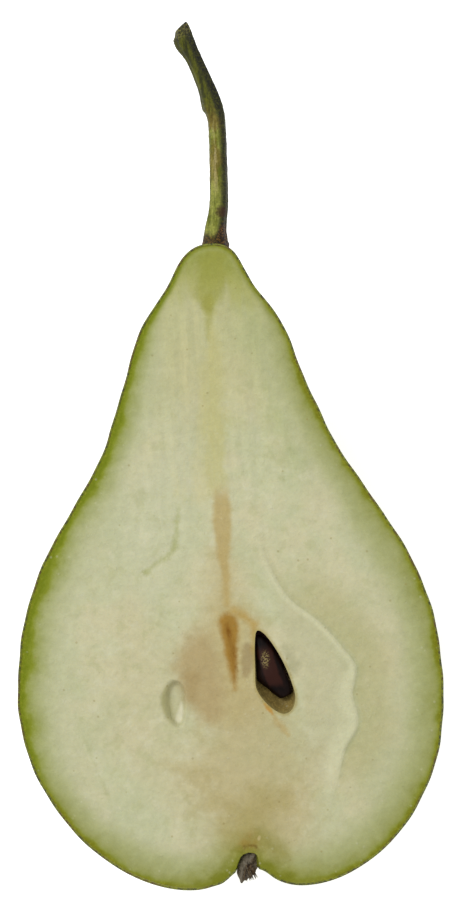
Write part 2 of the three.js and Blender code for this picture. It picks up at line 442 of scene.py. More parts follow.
def inset(line, depth):
    along = np.gradient(line, axis=0)
    along /= np.linalg.norm(along, axis=1)[:, None]
    moved = line + depth * np.stack([-along[:, 1], along[:, 0]], axis=1)
    moved[:, 0] = np.maximum(moved[:, 0], 0.02)
    moved[0, 0] = 0
    moved[-1, 0] = 0
    return moved


def roundSide(line):
    # a half turn of the outline below the cut face, with a flat spot to lie on:
    # rows of vertices between two poles, and the faces that join them
    o = outline
    angles = np.linspace(0, math.pi, o["columns"] + 1)
    radius = line[1:-1, 0][:, None]
    height = line[1:-1, 1][:, None]
    away, across = np.sin(angles), np.cos(angles)
    lump = sum(size * np.sin(height / span + turns * angles + start)
               for size, span, turns, start in o["lumps"])
    deep = radius + o["ballast"] * np.minimum(1, radius / 4) + lump * away * np.minimum(1, radius / 12)
    ripple = sum(size * np.sin(height / span + turns * across + start)
                 for size, span, turns, start in o["ripples"])
    radius = radius + ripple * np.minimum(1, radius / 6)
    x = radius * across + sway(height)
    inTube = (radius < o["tubeRadius"] + 0.1) & (height > o["basinRise"] - 0.1)
    inTube &= height < o["tubeTop"] + 0.5
    x += inTube * o["tubeLean"] * (height - o["basinRise"]) / (o["tubeTop"] - o["basinRise"])
    backward = away ** 2 * np.minimum(1, radius / o["lobeRadius"])
    valley = o["valleyRise"] * backward * np.clip(1 - height / o["valleyReach"], 0, 1) ** 2
    lip = (o["lip"] - o["lipLean"] * across) * across ** 2
    lip = lip * np.exp(-((radius - o["lipRadius"]) / o["lipReach"]) ** 2)
    y = height + valley - lip * (height < bulbRadius)
    z = np.maximum(cutZ - deep * away, 0.0)
    grid = np.stack([x, y, z], axis=2)
    rows, columns = x.shape
    tubeShift = o["tubeLean"] if line[0, 1] > o["basinRise"] + 1 else 0
    poles = [[sway(line[0, 1]) + tubeShift, line[0, 1], cutZ], [sway(line[-1, 1]), line[-1, 1], cutZ]]
    vertices = np.concatenate([grid.reshape(-1, 3), poles])
    first, last = rows * columns, rows * columns + 1
    faces = []
    for j in range(columns - 1):
        faces.append((first, j, j + 1))
        faces.append(((rows - 1) * columns + j, last, (rows - 1) * columns + j + 1))
        for i in range(rows - 1):
            a = i * columns + j
            faces.append((a, a + columns, a + columns + 1, a + 1))
    return vertices, faces, rows, columns


# places on the cut face: x from the fruit's middle, y above the lobes, in mm
flesh = {
    "skinDepth": 0.2,
    "grain": 0.46, "coreGrain": 0.27,  # spacing of the cut face's vertices
    "margin": (0.3, 0.65),  # depths of the two rows of vertices that follow the rim
    "core": [(1, 60, 5), (2, 40, 13), (3, 29, 17.5), (2, 8, 7)],  # where the finer spacing is used
    "cutWaves": [(0.05, 9.0, 3.0), (0.03, 2.6, 8.0)],  # the knife's marks: amount, lump size, seed
    "pocket": [(4.3, 39.0), (3.95, 36.6), (3.86, 33.4), (3.92, 30.4), (5.2, 28.2), (6.9, 26.7), (8.2, 26.3),
               (9.35, 27.1), (9.8, 28.9), (9.3, 31.2), (8.2, 34.2), (6.7, 37.0), (5.3, 38.8)],
    "pocketDepth": 3.05, "pocketRings": 16, "pocketLip": 0.12,
    "locule": [(-8.9, 32.2), (-10.4, 31.0), (-10.9, 28.6), (-10.0, 26.0), (-8.3, 24.8),
               (-7.3, 25.7), (-7.0, 27.4), (-6.9, 30.0), (-7.4, 31.7)],
    "loculeDepth": 1.1, "loculeLip": 0.14,
    "coreLine": [(5.7, 57.2), (5.9, 51.6), (7.6, 47.0), (9.9, 43.4), (14.0, 40.0), (17.3, 36.0),
                 (19.2, 33.1), (19.0, 31.0), (18.5, 28.6), (19.2, 25.4), (18.8, 23.3), (17.0, 20.3),
                 (15.4, 15.1), (13.5, 9.8)],
    "coreStep": 0.3,
    "traceDepths": {"traceHigh": 0.1, "traceLow": 0.06},
    # the tints under the skin by depth in mm, on the left and on the right
    "rindLeft": [(0.0, (120, 131, 8)), (0.6, (121, 133, 10)), (1.2, (138, 147, 52)), (1.9, (157, 163, 94)),
                 (2.9, (172, 176, 121)), (4.4, (187, 189, 144)), (6.5, (195, 196, 157))],
    "rindRight": [(0.0, (124, 126, 34)), (0.35, (137, 142, 54)), (0.75, (149, 154, 82)),
                  (1.3, (157, 160, 97)), (2.0, (164, 167, 109)), (3.1, (172, 175, 122)),
                  (4.6, (182, 184, 135)), (7.0, (190, 190, 150))],
    "rindReach": 10.0,
    "tones": {
        "cream": (200, 201, 162), "warmCream": (208, 203, 165), "coolCream": (188, 192, 151),
        "paleMottle": (213, 210, 178), "dullMottle": (184, 185, 138),
        "neck": (191, 189, 138), "highNeck": (168, 169, 94), "crown": (148, 154, 78),
        "rimFleck": (152, 152, 52), "rimBrown": (96, 84, 22), "wedgeHalo": (192, 172, 114),
        # the core ridge tint is a painted highlight and the core foot tint painted shade
        "coreRidge": (212, 210, 172), "coreFoot": (168, 165, 114), "outsideCore": (184, 176, 122),
        # the pocket's deep tint is painted shade, its top tint a painted shadow, and the locule tint painted
        # shade
        "pocketEdge": (172, 156, 92), "pocketWall": (172, 156, 100), "pocketDeep": (140, 122, 72),
        "pocketTop": (48, 36, 20), "locule": (172, 168, 116),
        "calyxFlesh": (146, 148, 72), "calyxRim": (122, 126, 16),
        "grit": (214, 212, 180), "fleck": (150, 134, 80),
    },
    # strokes that tint the cut face: their run as (x, y, half width), their tint,
    # their soft edge and their frayed edge in mm, and their strength
    "marks": {
        "warmLow": ([(-14.0, 44.0, 2.0), (-13.5, 36.0, 4.5), (-12.0, 22.0, 5.0), (-8.0, 14.0, 3.0)],
                    (203, 196, 156), 3.0, 2.0, 0.6),
        "paleLeft": ([(-6.0, 73.0, 2.0), (-8.0, 62.0, 5.0), (-10.5, 54.0, 5.5), (-11.5, 47.0, 3.0)],
                     (205, 205, 170), 3.5, 2.0, 0.75),
        "neckPatch": ([(4.6, 91.0, 1.1), (6.4, 85.0, 2.4), (8.4, 78.0, 2.2), (10.0, 70.0, 2.2),
                       (11.5, 64.0, 1.6)],
                      (171, 180, 126), 2.6, 1.6, 0.48),
        "creamLeft": ([(-2.8, 91.0, 0.7), (-3.6, 84.0, 1.5), (-4.0, 74.0, 2.4), (-4.0, 62.0, 3.0)],
                      (205, 199, 153), 1.2, 1.2, 0.65),
        "neckFibre": ([(0.9, 98.8, 1.6), (0.0, 94.0, 2.4), (-0.2, 91.2, 2.1), (-0.6, 89.4, 1.1)],
                      (155, 156, 70), 0.9, 1.6, 0.6),
        "stripeHigh": ([(-0.7, 90.0, 0.8), (-0.8, 86.5, 0.5), (-1.1, 83.5, 0.2)],
                       (160, 158, 74), 0.6, 0.6, 0.6),
        "stripe": ([(-0.3, 85.5, 0.5), (-0.6, 79.0, 1.8), (-1.0, 71.0, 1.9), (-0.8, 62.0, 1.5)],
                   (195, 190, 132), 1.0, 1.0, 0.8),
        "innerZone": ([(9.0, 44.0, 0.8), (11.5, 38.5, 3.0), (14.5, 32.0, 3.6), (14.3, 25.0, 3.0),
                       (12.5, 18.0, 1.6)],
                      (197, 193, 155), 1.8, 1.0, 0.7),
        "coreHalo": ([(-0.4, 51.0, 1.2), (-0.2, 44.0, 2.8), (0.4, 38.0, 5.2), (0.6, 30.0, 5.2)],
                     (194, 180, 131), 2.8, 1.4, 0.8),
        "lowerCore": ([(2.4, 24.0, 7.2), (2.6, 17.5, 8.6), (3.4, 12.0, 8.8), (3.2, 7.5, 5.0)],
                      (187, 172, 122), 4.5, 2.8, 0.62),
        "lowerFront": ([(-10.5, 19.6, 0.6), (-6.0, 17.6, 1.7), (-2.8, 13.0, 1.9)],
                       (178, 160, 100), 1.8, 1.8, 0.3),
        "lowerBrown": ([(7.4, 13.4, 1.3), (3.6, 12.4, 2.8), (2.0, 10.4, 3.2), (1.5, 8.3, 2.6)],
                       (168, 152, 86), 3.0, 2.2, 0.5),
        "carpel": ([(-4.4, 37.0, 2.4), (-4.9, 34.3, 3.7), (-4.1, 30.2, 3.1), (-3.6, 27.6, 2.2)],
                   (184, 165, 119), 1.9, 1.2, 0.92),
        "carpelDeep": ([(-5.9, 32.2, 1.4), (-6.2, 29.4, 0.7)], (172, 150, 102), 1.1, 0.8, 0.6),
        "spindle": ([(0.0, 61.0, 1.2), (-0.2, 55.0, 1.4), (-0.2, 50.6, 0.9), (0.05, 48.6, 0.6),
                     (0.05, 43.5, 0.5)],
                    (187, 164, 104), 0.5, 0.5, 0.75),
        "greyPatch": ([(2.9, 36.6, 1.0), (2.8, 34.5, 1.25), (2.2, 32.6, 0.5)],
                      (162, 143, 102), 0.5, 0.9, 0.75),
        "greyRight": ([(8.7, 36.2, 0.6), (9.6, 33.9, 0.9), (9.9, 32.6, 0.5)],
                      (172, 169, 132), 0.6, 0.8, 0.6),
        "branch": ([(0.9, 42.3, 0.6), (2.6, 41.4, 0.65), (3.9, 40.2, 0.6), (3.8, 38.6, 0.4),
                    (3.6, 36.4, 0.2)],
                   (184, 154, 84), 0.7, 0.7, 0.8),
        "wedge": ([(0.1, 41.2, 0.9), (0.1, 40.5, 1.45), (0.2, 38.4, 1.3), (0.25, 36.5, 1.05),
                   (0.45, 34.5, 0.8), (0.55, 32.6, 0.5), (0.6, 30.4, 0.2)],
                  (162, 122, 48), 0.55, 0.6, 0.9),
        "wedgeCore": ([(-0.2, 40.2, 0.3), (0.5, 37.0, 0.5), (0.75, 34.0, 0.45), (0.65, 31.5, 0.2)],
                      (132, 90, 26), 0.45, 0.5, 0.95),
        "orange": ([(5.2, 27.9, 0.2), (5.75, 27.2, 0.42), (6.2, 26.4, 0.2)], (192, 142, 62), 0.2, 0.4, 0.85),
        "orangeTrail": ([(6.2, 26.4, 0.25), (7.0, 25.0, 0.5), (8.5, 23.0, 0.3)],
                        (184, 160, 102), 0.4, 0.8, 0.6),
        "traceHigh": ([(-6.6, 58.6, 0.1), (-7.3, 54.0, 0.35), (-7.7, 52.2, 0.4), (-9.0, 50.9, 0.35),
                       (-12.3, 48.8, 0.1)],
                      (158, 163, 92), 0.5, 0.7, 0.55),
        "traceLow": ([(-22.8, 24.6, 0.05), (-21.9, 21.7, 0.25), (-19.2, 14.4, 0.1)],
                     (160, 162, 108), 0.4, 0.5, 0.35),
        "glint": ([(-7.6, 28.6, 0.1), (-7.75, 27.2, 0.42), (-8.1, 26.1, 0.5)],
                  (228, 224, 194), 0.3, 0.2, 0.9),
        "oliveRight": ([(3.4, 8.2, 0.6), (4.7, 6.7, 1.3), (6.5, 5.0, 0.9)], (144, 138, 66), 1.4, 0.9, 0.6),
        "rust": ([(1.9, 8.2, 0.5), (1.6, 7.0, 1.1)], (152, 122, 54), 1.4, 1.2, 0.75),
        "tubeArch": ([(0.7, 5.3, 0.1), (0.95, 6.25, 0.14), (1.87, 6.5, 0.14), (2.75, 6.3, 0.14),
                      (3.25, 5.5, 0.1)],
                     (104, 78, 22), 0.28, 0.35, 0.8),
        "paleDot": ([(3.25, 7.35, 0.14), (3.4, 7.75, 0.1)], (230, 208, 160), 0.2, 0.1, 0.8),
    },
}


def coreSide(points, path):
    # distance from the core line, positive on the core's side, and how far along it from 0 to 1
    path = np.array(path, float)
    best = np.full(len(points), 1e9)
    signed = np.zeros(len(points))
    along = np.zeros(len(points))
    for k, (a, b) in enumerate(zip(path[:-1], path[1:])):
        d = b - a
        t = np.clip(((points - a) @ d) / (d @ d), 0, 1)
        off = points - a - t[:, None] * d
        away = np.hypot(off[:, 0], off[:, 1])
        side = np.sign(off[:, 0] * d[1] - off[:, 1] * d[0])
        nearer = away < best
        best[nearer] = away[nearer]
        signed[nearer] = (side * away)[nearer]
        along[nearer] = ((k + t) / (len(path) - 1))[nearer]
    return signed, along


def relief(points, rim, pocketGap):
    # how far the cut face stands above or below the knife's plane
    f = flesh
    flat = np.c_[points, np.zeros(len(points))]
    height = sum(amount * cloud(flat, size, seed) for amount, size, seed in f["cutWaves"])

    # a step along the core line, proud on the core's side and sunk outside it
    signed, along = coreSide(points, throughPoints(f["coreLine"], 6))
    strength = between(along, 0, 0.16, 0.8, 1.0) * (0.75 + 0.4 * cloud(flat, 5.0, 1.0))
    proud = np.where(signed > 0, np.exp(-np.maximum(signed, 0) / 3.2) * ease(-0.05, 0.25, signed),
                     -0.35 * np.exp(-np.maximum(-signed - 0.15, 0) / 1.2) * ease(0.0, 0.3, -signed))
    height += f["coreStep"] * strength * proud

    # the grazed locule, steep on its right, and raised lips around it and the pocket
    loop = throughPoints(f["locule"], 8, closed=True)
    edge = reach(points, asStroke(loop))
    within = inside(points, loop)
    width = 2.6 - 1.9 * ease(-10.5, -8.2, points[:, 0])
    height -= np.where(within, f["loculeDepth"] * ease(0, 1, edge / width), 0)
    height += f["loculeLip"] * np.exp(-edge / 0.35) * ~within
    height += f["pocketLip"] * np.exp(-pocketGap / 0.4)
    for name, depth in f["traceDepths"].items():
        height -= depth * np.exp(-np.abs(reach(points, f["marks"][name][0])) / 0.4)
    return height * ease(0, 0.8, rim), np.where(within, edge, -edge), signed, along


def hexPoints(low, high, gap, seed):
    dice = np.random.default_rng(seed)
    rows = np.arange(low[1], high[1], gap * 0.866)
    made = []
    for k, y in enumerate(rows):
        x = np.arange(low[0] + (k % 2) * gap / 2, high[0], gap)
        made.append(np.c_[x, np.full(len(x), y)])
    made = np.concatenate(made)
    return made + dice.uniform(-0.22, 0.22, made.shape) * gap


def buildFlesh(material):
    f = flesh
    line = inset(fruitOutline(), f["skinDepth"])
    back, backFaces, rows, across = roundSide(line)
    rightRim = [i * across for i in range(rows)]
    leftRim = [i * across + across - 1 for i in range(rows)]
    rimLoop = [rows * across] + rightRim + [rows * across + 1] + leftRim[::-1]
    rim = back[rimLoop][:, :2]
    pocket = throughPoints(f["pocket"], 7, closed=True)
    rimPath = asStroke(rim)
    pocketPath = asStroke(pocket)

    coarse = hexPoints(rim.min(0), rim.max(0), f["grain"], 1)
    fine = hexPoints(rim.min(0), rim.max(0), f["coreGrain"], 2)
    coarse = coarse[reach(coarse, f["core"]) > 0.1]
    fine = fine[reach(fine, f["core"]) < -0.1]
    inner = np.concatenate([coarse, fine])
    along = np.roll(rim, -1, axis=0) - np.roll(rim, 1, axis=0)
    along /= np.linalg.norm(along, axis=1)[:, None]
    margin = np.concatenate([rim + d * np.c_[-along[:, 1], along[:, 0]] for d in f["margin"]])
    inner = inner[reach(inner, rimPath) > f["margin"][-1] + 0.25]
    inner = np.concatenate([inner, margin[reach(margin, rimPath) > f["margin"][0] * 0.8]])
    inner = inner[inside(inner, rim) & ~inside(inner, pocket)]
    inner = inner[reach(inner, pocketPath) > 0.15]
    print("cut face:", len(inner), "points")

    loops = np.concatenate([rim, pocket])
    count, holes = len(rim), len(pocket)
    edges = [(i, (i + 1) % count) for i in range(count)]
    edges += [(count + i, count + (i + 1) % holes) for i in range(holes)]
    flat = np.concatenate([loops, inner])
    made, _, triangles, origins, _, _ = delaunay_2d_cdt([Vector(p) for p in flat], edges, [], 0, 1e-6)
    capPoints = np.array([tuple(p) for p in made])
    triangles = np.array(triangles)
    middle = capPoints[triangles].mean(axis=1)
    triangles = triangles[inside(middle, rim) & ~inside(middle, pocket)]

    # the cut face's vertices: the rim's are the round side's own
    index = np.full(len(capPoints), -1)
    for k, origin in enumerate(origins):
        for source in origin:
            if source < count:
                index[k] = rimLoop[source]
    fresh = np.where(index < 0)[0]
    index[fresh] = len(back) + np.arange(len(fresh))
    pocketOf = {}
    for k, origin in enumerate(origins):
        for source in origin:
            if count <= source < count + holes:
                pocketOf[source - count] = index[k]
    freshPoints = capPoints[fresh]
    rimGap = reach(freshPoints, rimPath)
    pocketGap = reach(freshPoints, pocketPath)
    height, locule, signed, along = relief(freshPoints, rimGap, pocketGap)
    capVertices = np.c_[freshPoints, cutZ + height]

    # the seed's pocket, a bowl of shrinking rings
    centre = pocket.mean(0) + np.array([0.3, -0.4])
    capFaces = [tuple(t) for t in index[triangles]]
    previous = [pocketOf[i] for i in range(holes)]
    extra, depths = [], []
    start = len(back) + len(capVertices)
    for ring in range(1, f["pocketRings"]):
        turn = ring / f["pocketRings"] * math.pi / 2
        shrink = math.cos(turn) ** 0.8
        deep = f["pocketDepth"] * math.sin(turn)
        now = []
        for p in pocket:
            q = centre + (p - centre) * shrink
            now.append(start + len(extra))
            extra.append((q[0], q[1], cutZ - deep))
            depths.append(deep)
        for i in range(holes):
            capFaces.append((previous[i], previous[(i + 1) % holes], now[(i + 1) % holes], now[i]))
        previous = now
    bottom = start + len(extra)
    extra.append((centre[0], centre[1], cutZ - f["pocketDepth"]))
    depths.append(f["pocketDepth"])
    for i in range(holes):
        capFaces.append((previous[i], previous[(i + 1) % holes], bottom))
    extra = np.array(extra)
    extra[:, 2] += 0.07 * cloud(extra, 0.9, 5.0)

    vertices = np.concatenate([back, capVertices, extra])
    obj = toObject("pearFlesh", vertices, backFaces + capFaces, [material])
    faceOutward(obj)
    obj.data.set_sharp_from_angle(angle=math.radians(55))

    # what the material reads, one value for each vertex
    total = len(vertices)
    flatAll = vertices[:, :2]
    capIds = len(back) + np.arange(len(capVertices))

    def spread(values, others):
        filled = np.full(total, float(others))
        filled[capIds] = values
        return filled

    rimDistance = spread(rimGap, 0.0)
    rimDistance[start:] = 20
    depth = np.zeros(total)
    depth[start:] = depths
    store(obj, "rimDistance", rimDistance)
    store(obj, "pocket", np.c_[spread(pocketGap, 9) * (depth == 0), depth, spread(locule, -9)])
    store(obj, "coreLine", np.c_[spread(signed, -30), spread(along, 0), np.zeros(total)])
    names = list(f["marks"])
    for k in range(0, len(names), 3):
        group = np.zeros((total, 3))
        for column, name in enumerate(names[k:k + 3]):
            group[:, column] = np.clip(reach(flatAll, f["marks"][name][0]), -9, 9)
        store(obj, "marks" + str(k // 3), group)
    print("flesh:", len(obj.data.polygons), "faces")
    return obj


def fleshLook():
    f = flesh
    look = Look("pearFlesh", f["tones"])
    x, y, step = look.x, look.y, look.step
    rim = look.attribute("rimDistance")
    pocketGap, sunk, locule = look.attributes("pocket")
    coreSigned, coreAlong, _ = look.attributes("coreLine")
    signals = {}
    names = list(f["marks"])
    for k in range(0, len(names), 3):
        signals.update(zip(names[k:k + 3], look.attributes("marks" + str(k // 3))))
    clouds = look.noise(7.5, 4, 0.55)
    drift = look.noise(16, 3, shift=3)
    fray = look.noise(1.3, 4, 0.65, shift=5)
    mottle = look.noise(2.8, 4, 0.62, shift=11)
    grain = look.noise(0.42, 3, 0.7, shift=7)
    fibre = look.noise(1.5, 4, 0.6, stretch=(1, 8, 1), shift=9)
    streaks = step(fibre, 0.36, 0.64)

    def lay(under, over, amount):
        return look.mix(amount, under, over)

    def stroke(name, soft, rough):
        frayed = (fray - 0.5) * rough * 0.6 + (mottle - 0.5) * rough * 2.2
        return 1 - step(signals[name] + frayed, -soft, soft)

    def marked(under, *names, by=1.0):
        # the strokes of those names laid over the tint in that order
        for name in names:
            _, tone, soft, rough, strength = f["marks"][name]
            under = lay(under, paint(*tone), stroke(name, soft, rough) * (strength * by))
        return under

    tint = lay("cream", "warmCream", step(clouds, 0.38, 0.6))
    tint = lay(tint, "coolCream", step(drift, 0.45, 0.7) * 0.55)
    tint = marked(tint, "warmLow", "paleLeft")
    tint = lay(tint, "paleMottle", step(mottle, 0.52, 0.68) * 0.45)
    tint = lay(tint, "dullMottle", step(mottle, 0.47, 0.34) * 0.4)

    # the neck: olive and fibrous
    neck = y + (clouds - 0.5) * 12 + (fibre - 0.5) * 9
    tint = lay(tint, "neck", step(neck, 62, 86) * 0.7)
    tint = marked(tint, "neckPatch")
    tint = marked(tint, "creamLeft", by=step(fibre, 0.3, 0.65))
    tint = lay(tint, "highNeck", step(neck, 86, 93.5) * 0.75)
    tint = lay(tint, "crown", step(neck, 91.5, 98) * 0.8)
    tint = look.shade(tint, 1 + (streaks - 0.5) * 0.08 * step(y, 46, 72))
    tint = marked(tint, "neckFibre", "stripeHigh")
    tint = marked(tint, "stripe", by=0.56 + streaks * 0.44)

    # greener towards the skin, the most on the left; narrow is how fast the rind fades inwards
    leftSide = step(x, 5.0, -9.0) * step(y + (mottle - 0.5) * 6, 13, 22)
    narrow = 1 + step(y, 46, 72) * 0.35 + step(y, 80, 92) * 0.9
    narrow = narrow + step(y, 28, 14) * step(x, 0, -10) * step(y, 4, 11) * 0.3
    depth = rim * narrow + (clouds - 0.5) * 3.6 + (mottle - 0.5) * 2.0 + (fray - 0.5) * 0.5
    depth = depth * step(rim, -0.6, 1.2)
    left = look.ramp(depth, f["rindReach"], f["rindLeft"])
    right = look.ramp(depth, f["rindReach"], f["rindRight"])
    crown = step(y, 80, 91)
    inward = step(rim * narrow, 3.6 - crown * 3.0, 8.5 - crown * 5.7)
    tint = lay(tint, lay(right, left, leftSide), 1 - inward)
    flecks = step(look.noise(0.5, 3, 0.7, shift=17), 0.5, 0.62) * (1 - step(rim, 0.3, 0.8))
    tint = lay(tint, "rimFleck", flecks * 0.55)
    tint = lay(tint, "rimBrown", (1 - step(rim, 0.0, 0.35)) * step(mottle, 0.48, 0.58) * 0.5)

    # the core
    tint = marked(tint, "innerZone", "coreHalo", "lowerCore", "lowerFront", "lowerBrown", "carpel",
                  "carpelDeep")
    tint = marked(tint, "spindle", by=step(y, 62.5, 59.0))
    tint = marked(tint, "greyPatch", "greyRight")
    tint = lay(tint, "wedgeHalo", stroke("wedge", 2.0, 1.2) * 0.7)
    tint = marked(tint, "branch", "wedge")
    grainy = step(look.noise(0.9, 4, 0.65, stretch=(1, 4, 1), shift=13), 0.4, 0.6)
    tint = marked(tint, "wedgeCore", by=0.37 + grainy * 0.63)
    tint = marked(tint, "orange", "orangeTrail", "traceHigh", "traceLow")

    # the core line: a pale painted highlight along its raised ridge and painted shade at its outer foot
    along = look.between(coreAlong, 0.02, 0.2, 0.85, 1.0)
    broad = 1.1 + step(coreAlong, 0.4, 0.6) * 2.4
    ridge = step(coreSigned, -0.25, 0.1) * (1 - step(coreSigned, broad * 0.3, broad))
    foot = step(coreSigned, -1.3, -0.3) * (1 - step(coreSigned, -0.25, 0.1))
    tint = lay(tint, "coreRidge", ridge * along * 0.75)
    tint = lay(tint, "coreFoot", foot * along * 0.35)
    outer = step(coreSigned + (mottle - 0.5) * 5, -8.0, -3.0) * step(coreSigned, -0.2, -1.0)
    tint = lay(tint, "outsideCore", outer * step(coreAlong, 0.1, 0.3) * along * 0.5)

    # around and inside the seed's pocket, with painted shade on its wall, and the grazed locule
    tint = lay(tint, "pocketEdge", (1 - step(pocketGap + (fray - 0.5) * 0.7, 0.05, 0.6)) * 0.6)
    # painted shade: the pocket's wall darkens with depth, and its upper wall carries a painted shadow
    wall = lay("pocketWall", "pocketDeep", step(sunk, 0.2, 1.6))
    wall = lay("pocketTop", wall, step(y + x * 0.9, 41.0, 36.0))
    speckle = step(look.noise(0.35, 2, shift=15), 0.5, 0.62)
    tint = lay(tint, look.shade(wall, 0.5 + fray * 0.75 + speckle * 0.3), step(sunk, 0.02, 0.2))
    # painted shade on the locule's left side, and a painted highlight, the glint, on its lower right
    tint = lay(tint, "locule", step(locule, 0.0, 0.5) * step(x, -8.2, -10.2) * 0.7)
    tint = marked(tint, "glint")

    # dark flesh at the calyx tube
    away = y + (x - 1.5).size() * 0.7 + (fray - 0.5) * 2 + (mottle - 0.5) * 5
    tint = lay(tint, "calyxFlesh", (1 - step(away, 4.0, 11.5)) * 0.7)
    tint = lay(tint, "calyxRim", (1 - step(away, 4.6, 7.8)) * 0.85)
    tint = marked(tint, "oliveRight")
    tint = marked(tint, "rust", by=0.47 + step(fray, 0.4, 0.55) * 0.53)
    tint = marked(tint, "tubeArch", by=0.375 + step(fray, 0.42, 0.55) * 0.625)
    tint = marked(tint, "paleDot")

    # grain, grit cells and a few brown flecks
    grit = look.dots(1.35, 0.06, 0.2)
    tint = lay(tint, "grit", grit * step(mottle, 0.45, 0.6) * step(y, 84, 70) * 0.25)
    tint = lay(tint, "fleck", look.dots(3.1, 0.035, 0.075, shift=4) * 0.4)
    tint = look.shade(tint, 0.9 + grain * 0.12 + step(fray, 0.3, 0.7) * 0.08)
    height = grain * 0.6 + fray * 1.6 + grit * 0.25
    return look.finish(
        Base_Color=tint, Roughness=0.4 + fray * 0.24, Normal=look.bump(height, 0.00014, 0.8),
        Subsurface_Weight=0.08, Subsurface_Radius=(1.0, 0.7, 0.35), Subsurface_Scale=0.0012,
        Specular_IOR_Level=0.12)


skin = {
    "thickness": 0.3,
    "proud": 0.03,  # how far its cut edge stands above the flesh
    "lenticelsPerCm2": 17.0, "lenticelSize": 0.34, "seed": 4,
    "leastScale": (0.22, 0.22, 0.05), "mostScale": (0.62, 0.6, 0.11),  # of a lenticel
    "tones": {
        "green": (150, 158, 62), "yellow": (171, 172, 88), "deep": (131, 141, 48),
        "russet": (124, 98, 52), "speck": (112, 96, 46),
        "edgeDark": (66, 68, 14), "edgeLight": (130, 136, 40), "edgeBrown": (104, 76, 24),
        "lenticelDark": (120, 100, 56), "lenticelLight": (146, 130, 82),
    },
}


def buildSkin(outside, cutEdge):
    line = fruitOutline()
    start = next(i for i, p in enumerate(line) if p[0] > outline["tubeRadius"] - 0.1 and p[1] < 4.2)
    line = np.concatenate([[(0, line[start, 1])], line[start:]])
    vertices, faces, rows, across = roundSide(line)
    tubePole = rows * across
    faces = [f for f in faces if tubePole not in f]  # the calyx tube's mouth stays open
    vertices[:, 2] += skin["proud"] * ease(cutZ - 1.0, cutZ, vertices[:, 2])
    obj = toObject("pearSkin", vertices, faces, [outside, cutEdge])
    bm = bmesh.new()
    bm.from_mesh(obj.data)
    loose = [v for v in bm.verts if not v.link_faces]
    bmesh.ops.delete(bm, geom=loose, context="VERTS")
    bmesh.ops.recalc_face_normals(bm, faces=bm.faces)
    down = sum(f.normal.z * f.calc_area() for f in bm.faces)
    if down > 0:  # an open sheet: its outside is the side that looks down
        bmesh.ops.reverse_faces(bm, faces=bm.faces)
    bm.to_mesh(obj.data)
    bm.free()
    return obj


def thickenSkin(obj):
    wall = obj.modifiers.new("wall", "SOLIDIFY")
    wall.thickness = skin["thickness"] * mm
    wall.offset = -1
    wall.material_offset_rim = 1
    return settle(obj)


def lenticelTree():
    growth = Growth("lenticels", {"Density": "Float", "Size": "Float", "Seed": "Int"})
    given = growth.given
    scatter = growth.add("GeometryNodeDistributePointsOnFaces", {}, {
        "Mesh": given["Geometry"], "Density": given["Density"], "Seed": given["Seed"]})
    dot = growth.add("GeometryNodeMeshIcoSphere", {}, {"Subdivisions": 1, "Radius": given["Size"]})
    scale = growth.randomVector(skin["leastScale"], skin["mostScale"])
    return growth.finish(growth.add("GeometryNodeInstanceOnPoints", {}, {
        "Points": scatter["Points"], "Rotation": scatter["Rotation"],
        "Instance": dot["Mesh"], "Scale": scale}))


def skinLook():
    look = Look("pearSkin", skin["tones"])
    clouds = look.noise(11, 3)
    mottle = look.noise(2.2, 4, 0.6, shift=2)
    fine = look.noise(0.5, 3, 0.6, shift=6)
    tint = look.mix(look.step(clouds, 0.35, 0.68), "green", "yellow")
    tint = look.mix(look.step(mottle, 0.45, 0.8) * 0.5, tint, "deep")

    # russet at the crown and around the calyx
    russet = look.step(look.y + (clouds - 0.5) * 8 + (mottle - 0.5) * 6, 91, 98.5)
    aside, under = look.x - outline["baseShift"], look.z - cutZ
    ring = (aside * aside + under * under) ** 0.5 + look.y * 0.6 + (mottle - 0.5) * 9 + (fine - 0.5) * 4
    russet = russet + (1 - look.step(ring, 4.5, 9.5)) * look.step(look.y, 12, 8)
    tint = look.mix(look.step(russet * (0.6 + fine * 0.8), 0.25, 0.8) * 0.8, tint, "russet")
    tint = look.mix(look.dots(1.3, 0.06, 0.13) * look.step(mottle, 0.4, 0.55) * 0.7, tint, "speck")
    tint = look.shade(tint, 0.92 + fine * 0.16)
    return look.finish(
        Base_Color=tint, Roughness=0.34 + mottle * 0.22,
        Normal=look.bump(mottle * 0.8 + fine * 0.35, 0.00012, 0.6),
        Coat_Weight=0.12, Coat_Roughness=0.35, Specular_IOR_Level=0.4)


def cutEdgeLook():
    look = Look("skinCutEdge", skin["tones"])
    along = look.noise(0.55, 4, 0.7)
    patch = look.noise(3.0, 3, shift=4)
    tint = look.mix(look.step(along, 0.4, 0.6), "edgeDark", "edgeLight")
    tint = look.mix(look.step(patch, 0.5, 0.58) * look.step(along, 0.58, 0.46) * 0.6, tint, "edgeBrown")
    return look.finish(Base_Color=tint, Roughness=0.5 + along * 0.2, Normal=look.bump(along, 0.0001, 0.6))


def lenticelLook():
    look = Look("lenticel", skin["tones"])
    vary = look.noise(0.8, 2)
    tint = look.mix(look.step(vary, 0.35, 0.65), "lenticelDark", "lenticelLight")
    return look.finish(Base_Color=tint, Roughness=0.6 + vary * 0.2, Normal=look.bump(vary, 0.00005, 0.5))


